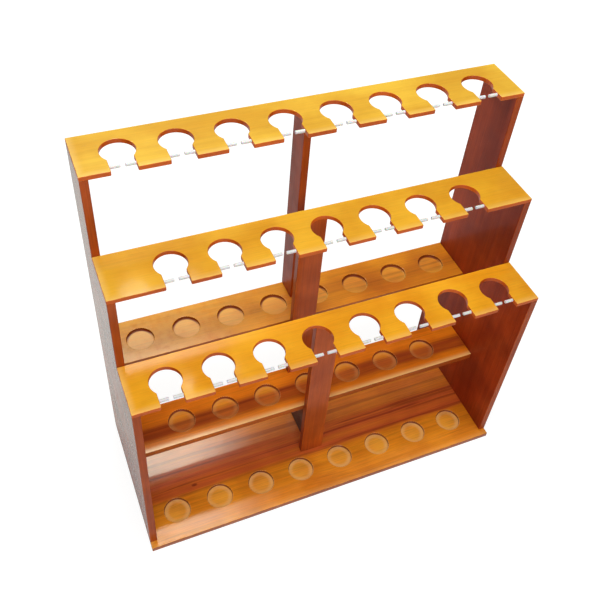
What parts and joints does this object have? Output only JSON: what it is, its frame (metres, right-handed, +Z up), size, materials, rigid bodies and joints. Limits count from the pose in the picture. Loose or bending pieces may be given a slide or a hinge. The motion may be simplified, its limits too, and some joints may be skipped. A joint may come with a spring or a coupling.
{
  "type": "stick display stand",
  "caption": "Three-tier wooden stand: long sticks drop into keyhole slots in stepped rails, rest in shallow round recesses, and are kept in by pairs of soft tubes.",
  "frame": {"origin": "on the floor, under the middle of the stand's outer box", "axes": "+X to the viewer's right when facing the slots, the open side of the slots faces -Y, +Z up"},
  "size_m": [0.66, 0.27, 0.66],
  "materials": {
    "rail_wood": "amber stain under clear gloss lacquer",
    "shelf_wood": "orange-brown stain under clear gloss lacquer",
    "upper_shelf_wood": "tan-orange stain under clear gloss lacquer",
    "base_wood": "orange-brown stain under clear gloss lacquer",
    "upright_wood": "red-brown stain under clear gloss lacquer",
    "tube": "soft milky white plastic tube, satin"
  },
  "bodies": {
    "stand": {"base": "base_wood", "side_panel_left": "upright_wood", "side_panel_right": "upright_wood", "mid_shelf": "shelf_wood", "upper_shelf": "upper_shelf_wood", "front_rail": "rail_wood", "mid_rail": "rail_wood", "top_rail": "rail_wood", "front_post": "upright_wood", "mid_post": "upright_wood", "top_post": "upright_wood", "mid_shelf_support": "upright_wood"},
    "front_tube_1_left": {"front_tube_1_left": "tube"},
    "front_tube_1_right": {"front_tube_1_right": "tube"},
    "front_tube_2_left": {"front_tube_2_left": "tube"},
    "front_tube_2_right": {"front_tube_2_right": "tube"},
    "front_tube_3_left": {"front_tube_3_left": "tube"},
    "front_tube_3_right": {"front_tube_3_right": "tube"},
    "front_tube_4_left": {"front_tube_4_left": "tube"},
    "front_tube_4_right": {"front_tube_4_right": "tube"},
    "front_tube_5_left": {"front_tube_5_left": "tube"},
    "front_tube_5_right": {"front_tube_5_right": "tube"},
    "front_tube_6_left": {"front_tube_6_left": "tube"},
    "front_tube_6_right": {"front_tube_6_right": "tube"},
    "front_tube_7_left": {"front_tube_7_left": "tube"},
    "front_tube_7_right": {"front_tube_7_right": "tube"},
    "front_tube_8_left": {"front_tube_8_left": "tube"},
    "front_tube_8_right": {"front_tube_8_right": "tube"},
    "mid_tube_1_left": {"mid_tube_1_left": "tube"},
    "mid_tube_1_right": {"mid_tube_1_right": "tube"},
    "mid_tube_2_left": {"mid_tube_2_left": "tube"},
    "mid_tube_2_right": {"mid_tube_2_right": "tube"},
    "mid_tube_3_left": {"mid_tube_3_left": "tube"},
    "mid_tube_3_right": {"mid_tube_3_right": "tube"},
    "mid_tube_4_left": {"mid_tube_4_left": "tube"},
    "mid_tube_4_right": {"mid_tube_4_right": "tube"},
    "mid_tube_5_left": {"mid_tube_5_left": "tube"},
    "mid_tube_5_right": {"mid_tube_5_right": "tube"},
    "mid_tube_6_left": {"mid_tube_6_left": "tube"},
    "mid_tube_6_right": {"mid_tube_6_right": "tube"},
    "mid_tube_7_left": {"mid_tube_7_left": "tube"},
    "mid_tube_7_right": {"mid_tube_7_right": "tube"},
    "top_tube_1_left": {"top_tube_1_left": "tube"},
    "top_tube_1_right": {"top_tube_1_right": "tube"},
    "top_tube_2_left": {"top_tube_2_left": "tube"},
    "top_tube_2_right": {"top_tube_2_right": "tube"},
    "top_tube_3_left": {"top_tube_3_left": "tube"},
    "top_tube_3_right": {"top_tube_3_right": "tube"},
    "top_tube_4_left": {"top_tube_4_left": "tube"},
    "top_tube_4_right": {"top_tube_4_right": "tube"},
    "top_tube_5_left": {"top_tube_5_left": "tube"},
    "top_tube_5_right": {"top_tube_5_right": "tube"},
    "top_tube_6_left": {"top_tube_6_left": "tube"},
    "top_tube_6_right": {"top_tube_6_right": "tube"},
    "top_tube_7_left": {"top_tube_7_left": "tube"},
    "top_tube_7_right": {"top_tube_7_right": "tube"},
    "top_tube_8_left": {"top_tube_8_left": "tube"},
    "top_tube_8_right": {"top_tube_8_right": "tube"}
  },
  "joints": [
    {"name": "front_tube_1_left_bend", "type": "hinge", "parent": "stand", "child": "front_tube_1_left", "pos_m": [-0.28605, -0.11, 0.3815], "axis": [0, 0, 1], "range_deg": [-75, 75], "stiffness_Nm_per_rad": 0.0005},
    {"name": "front_tube_1_right_bend", "type": "hinge", "parent": "stand", "child": "front_tube_1_right", "pos_m": [-0.25715, -0.11, 0.3815], "axis": [0, 0, 1], "range_deg": [-75, 75], "stiffness_Nm_per_rad": 0.0005},
    {"name": "front_tube_2_left_bend", "type": "hinge", "parent": "stand", "child": "front_tube_2_left", "pos_m": [-0.20845, -0.11, 0.3815], "axis": [0, 0, 1], "range_deg": [-75, 75], "stiffness_Nm_per_rad": 0.0005},
    {"name": "front_tube_2_right_bend", "type": "hinge", "parent": "stand", "child": "front_tube_2_right", "pos_m": [-0.17955, -0.11, 0.3815], "axis": [0, 0, 1], "range_deg": [-75, 75], "stiffness_Nm_per_rad": 0.0005},
    {"name": "front_tube_3_left_bend", "type": "hinge", "parent": "stand", "child": "front_tube_3_left", "pos_m": [-0.13085, -0.11, 0.3815], "axis": [0, 0, 1], "range_deg": [-75, 75], "stiffness_Nm_per_rad": 0.0005},
    {"name": "front_tube_3_right_bend", "type": "hinge", "parent": "stand", "child": "front_tube_3_right", "pos_m": [-0.10195, -0.11, 0.3815], "axis": [0, 0, 1], "range_deg": [-75, 75], "stiffness_Nm_per_rad": 0.0005},
    {"name": "front_tube_4_left_bend", "type": "hinge", "parent": "stand", "child": "front_tube_4_left", "pos_m": [-0.05325, -0.11, 0.3815], "axis": [0, 0, 1], "range_deg": [-75, 75], "stiffness_Nm_per_rad": 0.0005},
    {"name": "front_tube_4_right_bend", "type": "hinge", "parent": "stand", "child": "front_tube_4_right", "pos_m": [-0.02435, -0.11, 0.3815], "axis": [0, 0, 1], "range_deg": [-75, 75], "stiffness_Nm_per_rad": 0.0005},
    {"name": "front_tube_5_left_bend", "type": "hinge", "parent": "stand", "child": "front_tube_5_left", "pos_m": [0.02435, -0.11, 0.3815], "axis": [0, 0, 1], "range_deg": [-75, 75], "stiffness_Nm_per_rad": 0.0005},
    {"name": "front_tube_5_right_bend", "type": "hinge", "parent": "stand", "child": "front_tube_5_right", "pos_m": [0.05325, -0.11, 0.3815], "axis": [0, 0, 1], "range_deg": [-75, 75], "stiffness_Nm_per_rad": 0.0005},
    {"name": "front_tube_6_left_bend", "type": "hinge", "parent": "stand", "child": "front_tube_6_left", "pos_m": [0.10195, -0.11, 0.3815], "axis": [0, 0, 1], "range_deg": [-75, 75], "stiffness_Nm_per_rad": 0.0005},
    {"name": "front_tube_6_right_bend", "type": "hinge", "parent": "stand", "child": "front_tube_6_right", "pos_m": [0.13085, -0.11, 0.3815], "axis": [0, 0, 1], "range_deg": [-75, 75], "stiffness_Nm_per_rad": 0.0005},
    {"name": "front_tube_7_left_bend", "type": "hinge", "parent": "stand", "child": "front_tube_7_left", "pos_m": [0.17955, -0.11, 0.3815], "axis": [0, 0, 1], "range_deg": [-75, 75], "stiffness_Nm_per_rad": 0.0005},
    {"name": "front_tube_7_right_bend", "type": "hinge", "parent": "stand", "child": "front_tube_7_right", "pos_m": [0.20845, -0.11, 0.3815], "axis": [0, 0, 1], "range_deg": [-75, 75], "stiffness_Nm_per_rad": 0.0005},
    {"name": "front_tube_8_left_bend", "type": "hinge", "parent": "stand", "child": "front_tube_8_left", "pos_m": [0.25715, -0.11, 0.3815], "axis": [0, 0, 1], "range_deg": [-75, 75], "stiffness_Nm_per_rad": 0.0005},
    {"name": "front_tube_8_right_bend", "type": "hinge", "parent": "stand", "child": "front_tube_8_right", "pos_m": [0.28605, -0.11, 0.3815], "axis": [0, 0, 1], "range_deg": [-75, 75], "stiffness_Nm_per_rad": 0.0005},
    {"name": "mid_tube_1_left_bend", "type": "hinge", "parent": "stand", "child": "mid_tube_1_left", "pos_m": [-0.24725, -0.024, 0.5195], "axis": [0, 0, 1], "range_deg": [-75, 75], "stiffness_Nm_per_rad": 0.0005},
    {"name": "mid_tube_1_right_bend", "type": "hinge", "parent": "stand", "child": "mid_tube_1_right", "pos_m": [-0.21835, -0.024, 0.5195], "axis": [0, 0, 1], "range_deg": [-75, 75], "stiffness_Nm_per_rad": 0.0005},
    {"name": "mid_tube_2_left_bend", "type": "hinge", "parent": "stand", "child": "mid_tube_2_left", "pos_m": [-0.16965, -0.024, 0.5195], "axis": [0, 0, 1], "range_deg": [-75, 75], "stiffness_Nm_per_rad": 0.0005},
    {"name": "mid_tube_2_right_bend", "type": "hinge", "parent": "stand", "child": "mid_tube_2_right", "pos_m": [-0.14075, -0.024, 0.5195], "axis": [0, 0, 1], "range_deg": [-75, 75], "stiffness_Nm_per_rad": 0.0005},
    {"name": "mid_tube_3_left_bend", "type": "hinge", "parent": "stand", "child": "mid_tube_3_left", "pos_m": [-0.09205, -0.024, 0.5195], "axis": [0, 0, 1], "range_deg": [-75, 75], "stiffness_Nm_per_rad": 0.0005},
    {"name": "mid_tube_3_right_bend", "type": "hinge", "parent": "stand", "child": "mid_tube_3_right", "pos_m": [-0.06315, -0.024, 0.5195], "axis": [0, 0, 1], "range_deg": [-75, 75], "stiffness_Nm_per_rad": 0.0005},
    {"name": "mid_tube_4_left_bend", "type": "hinge", "parent": "stand", "child": "mid_tube_4_left", "pos_m": [-0.01445, -0.024, 0.5195], "axis": [0, 0, 1], "range_deg": [-75, 75], "stiffness_Nm_per_rad": 0.0005},
    {"name": "mid_tube_4_right_bend", "type": "hinge", "parent": "stand", "child": "mid_tube_4_right", "pos_m": [0.01445, -0.024, 0.5195], "axis": [0, 0, 1], "range_deg": [-75, 75], "stiffness_Nm_per_rad": 0.0005},
    {"name": "mid_tube_5_left_bend", "type": "hinge", "parent": "stand", "child": "mid_tube_5_left", "pos_m": [0.06315, -0.024, 0.5195], "axis": [0, 0, 1], "range_deg": [-75, 75], "stiffness_Nm_per_rad": 0.0005},
    {"name": "mid_tube_5_right_bend", "type": "hinge", "parent": "stand", "child": "mid_tube_5_right", "pos_m": [0.09205, -0.024, 0.5195], "axis": [0, 0, 1], "range_deg": [-75, 75], "stiffness_Nm_per_rad": 0.0005},
    {"name": "mid_tube_6_left_bend", "type": "hinge", "parent": "stand", "child": "mid_tube_6_left", "pos_m": [0.14075, -0.024, 0.5195], "axis": [0, 0, 1], "range_deg": [-75, 75], "stiffness_Nm_per_rad": 0.0005},
    {"name": "mid_tube_6_right_bend", "type": "hinge", "parent": "stand", "child": "mid_tube_6_right", "pos_m": [0.16965, -0.024, 0.5195], "axis": [0, 0, 1], "range_deg": [-75, 75], "stiffness_Nm_per_rad": 0.0005},
    {"name": "mid_tube_7_left_bend", "type": "hinge", "parent": "stand", "child": "mid_tube_7_left", "pos_m": [0.21835, -0.024, 0.5195], "axis": [0, 0, 1], "range_deg": [-75, 75], "stiffness_Nm_per_rad": 0.0005},
    {"name": "mid_tube_7_right_bend", "type": "hinge", "parent": "stand", "child": "mid_tube_7_right", "pos_m": [0.24725, -0.024, 0.5195], "axis": [0, 0, 1], "range_deg": [-75, 75], "stiffness_Nm_per_rad": 0.0005},
    {"name": "top_tube_1_left_bend", "type": "hinge", "parent": "stand", "child": "top_tube_1_left", "pos_m": [-0.28605, 0.062, 0.6565], "axis": [0, 0, 1], "range_deg": [-75, 75], "stiffness_Nm_per_rad": 0.0005},
    {"name": "top_tube_1_right_bend", "type": "hinge", "parent": "stand", "child": "top_tube_1_right", "pos_m": [-0.25715, 0.062, 0.6565], "axis": [0, 0, 1], "range_deg": [-75, 75], "stiffness_Nm_per_rad": 0.0005},
    {"name": "top_tube_2_left_bend", "type": "hinge", "parent": "stand", "child": "top_tube_2_left", "pos_m": [-0.20845, 0.062, 0.6565], "axis": [0, 0, 1], "range_deg": [-75, 75], "stiffness_Nm_per_rad": 0.0005},
    {"name": "top_tube_2_right_bend", "type": "hinge", "parent": "stand", "child": "top_tube_2_right", "pos_m": [-0.17955, 0.062, 0.6565], "axis": [0, 0, 1], "range_deg": [-75, 75], "stiffness_Nm_per_rad": 0.0005},
    {"name": "top_tube_3_left_bend", "type": "hinge", "parent": "stand", "child": "top_tube_3_left", "pos_m": [-0.13085, 0.062, 0.6565], "axis": [0, 0, 1], "range_deg": [-75, 75], "stiffness_Nm_per_rad": 0.0005},
    {"name": "top_tube_3_right_bend", "type": "hinge", "parent": "stand", "child": "top_tube_3_right", "pos_m": [-0.10195, 0.062, 0.6565], "axis": [0, 0, 1], "range_deg": [-75, 75], "stiffness_Nm_per_rad": 0.0005},
    {"name": "top_tube_4_left_bend", "type": "hinge", "parent": "stand", "child": "top_tube_4_left", "pos_m": [-0.05325, 0.062, 0.6565], "axis": [0, 0, 1], "range_deg": [-75, 75], "stiffness_Nm_per_rad": 0.0005},
    {"name": "top_tube_4_right_bend", "type": "hinge", "parent": "stand", "child": "top_tube_4_right", "pos_m": [-0.02435, 0.062, 0.6565], "axis": [0, 0, 1], "range_deg": [-75, 75], "stiffness_Nm_per_rad": 0.0005},
    {"name": "top_tube_5_left_bend", "type": "hinge", "parent": "stand", "child": "top_tube_5_left", "pos_m": [0.02435, 0.062, 0.6565], "axis": [0, 0, 1], "range_deg": [-75, 75], "stiffness_Nm_per_rad": 0.0005},
    {"name": "top_tube_5_right_bend", "type": "hinge", "parent": "stand", "child": "top_tube_5_right", "pos_m": [0.05325, 0.062, 0.6565], "axis": [0, 0, 1], "range_deg": [-75, 75], "stiffness_Nm_per_rad": 0.0005},
    {"name": "top_tube_6_left_bend", "type": "hinge", "parent": "stand", "child": "top_tube_6_left", "pos_m": [0.10195, 0.062, 0.6565], "axis": [0, 0, 1], "range_deg": [-75, 75], "stiffness_Nm_per_rad": 0.0005},
    {"name": "top_tube_6_right_bend", "type": "hinge", "parent": "stand", "child": "top_tube_6_right", "pos_m": [0.13085, 0.062, 0.6565], "axis": [0, 0, 1], "range_deg": [-75, 75], "stiffness_Nm_per_rad": 0.0005},
    {"name": "top_tube_7_left_bend", "type": "hinge", "parent": "stand", "child": "top_tube_7_left", "pos_m": [0.17955, 0.062, 0.6565], "axis": [0, 0, 1], "range_deg": [-75, 75], "stiffness_Nm_per_rad": 0.0005},
    {"name": "top_tube_7_right_bend", "type": "hinge", "parent": "stand", "child": "top_tube_7_right", "pos_m": [0.20845, 0.062, 0.6565], "axis": [0, 0, 1], "range_deg": [-75, 75], "stiffness_Nm_per_rad": 0.0005},
    {"name": "top_tube_8_left_bend", "type": "hinge", "parent": "stand", "child": "top_tube_8_left", "pos_m": [0.25715, 0.062, 0.6565], "axis": [0, 0, 1], "range_deg": [-75, 75], "stiffness_Nm_per_rad": 0.0005},
    {"name": "top_tube_8_right_bend", "type": "hinge", "parent": "stand", "child": "top_tube_8_right", "pos_m": [0.28605, 0.062, 0.6565], "axis": [0, 0, 1], "range_deg": [-75, 75], "stiffness_Nm_per_rad": 0.0005}
  ],
  "couplings": [
    {"joint": "front_tube_1_right_bend", "follows": "front_tube_1_left_bend", "ratio": -1},
    {"joint": "front_tube_2_right_bend", "follows": "front_tube_2_left_bend", "ratio": -1},
    {"joint": "front_tube_3_right_bend", "follows": "front_tube_3_left_bend", "ratio": -1},
    {"joint": "front_tube_4_right_bend", "follows": "front_tube_4_left_bend", "ratio": -1},
    {"joint": "front_tube_5_right_bend", "follows": "front_tube_5_left_bend", "ratio": -1},
    {"joint": "front_tube_6_right_bend", "follows": "front_tube_6_left_bend", "ratio": -1},
    {"joint": "front_tube_7_right_bend", "follows": "front_tube_7_left_bend", "ratio": -1},
    {"joint": "front_tube_8_right_bend", "follows": "front_tube_8_left_bend", "ratio": -1},
    {"joint": "mid_tube_1_right_bend", "follows": "mid_tube_1_left_bend", "ratio": -1},
    {"joint": "mid_tube_2_right_bend", "follows": "mid_tube_2_left_bend", "ratio": -1},
    {"joint": "mid_tube_3_right_bend", "follows": "mid_tube_3_left_bend", "ratio": -1},
    {"joint": "mid_tube_4_right_bend", "follows": "mid_tube_4_left_bend", "ratio": -1},
    {"joint": "mid_tube_5_right_bend", "follows": "mid_tube_5_left_bend", "ratio": -1},
    {"joint": "mid_tube_6_right_bend", "follows": "mid_tube_6_left_bend", "ratio": -1},
    {"joint": "mid_tube_7_right_bend", "follows": "mid_tube_7_left_bend", "ratio": -1},
    {"joint": "top_tube_1_right_bend", "follows": "top_tube_1_left_bend", "ratio": -1},
    {"joint": "top_tube_2_right_bend", "follows": "top_tube_2_left_bend", "ratio": -1},
    {"joint": "top_tube_3_right_bend", "follows": "top_tube_3_left_bend", "ratio": -1},
    {"joint": "top_tube_4_right_bend", "follows": "top_tube_4_left_bend", "ratio": -1},
    {"joint": "top_tube_5_right_bend", "follows": "top_tube_5_left_bend", "ratio": -1},
    {"joint": "top_tube_6_right_bend", "follows": "top_tube_6_left_bend", "ratio": -1},
    {"joint": "top_tube_7_right_bend", "follows": "top_tube_7_left_bend", "ratio": -1},
    {"joint": "top_tube_8_right_bend", "follows": "top_tube_8_left_bend", "ratio": -1}
  ]
}
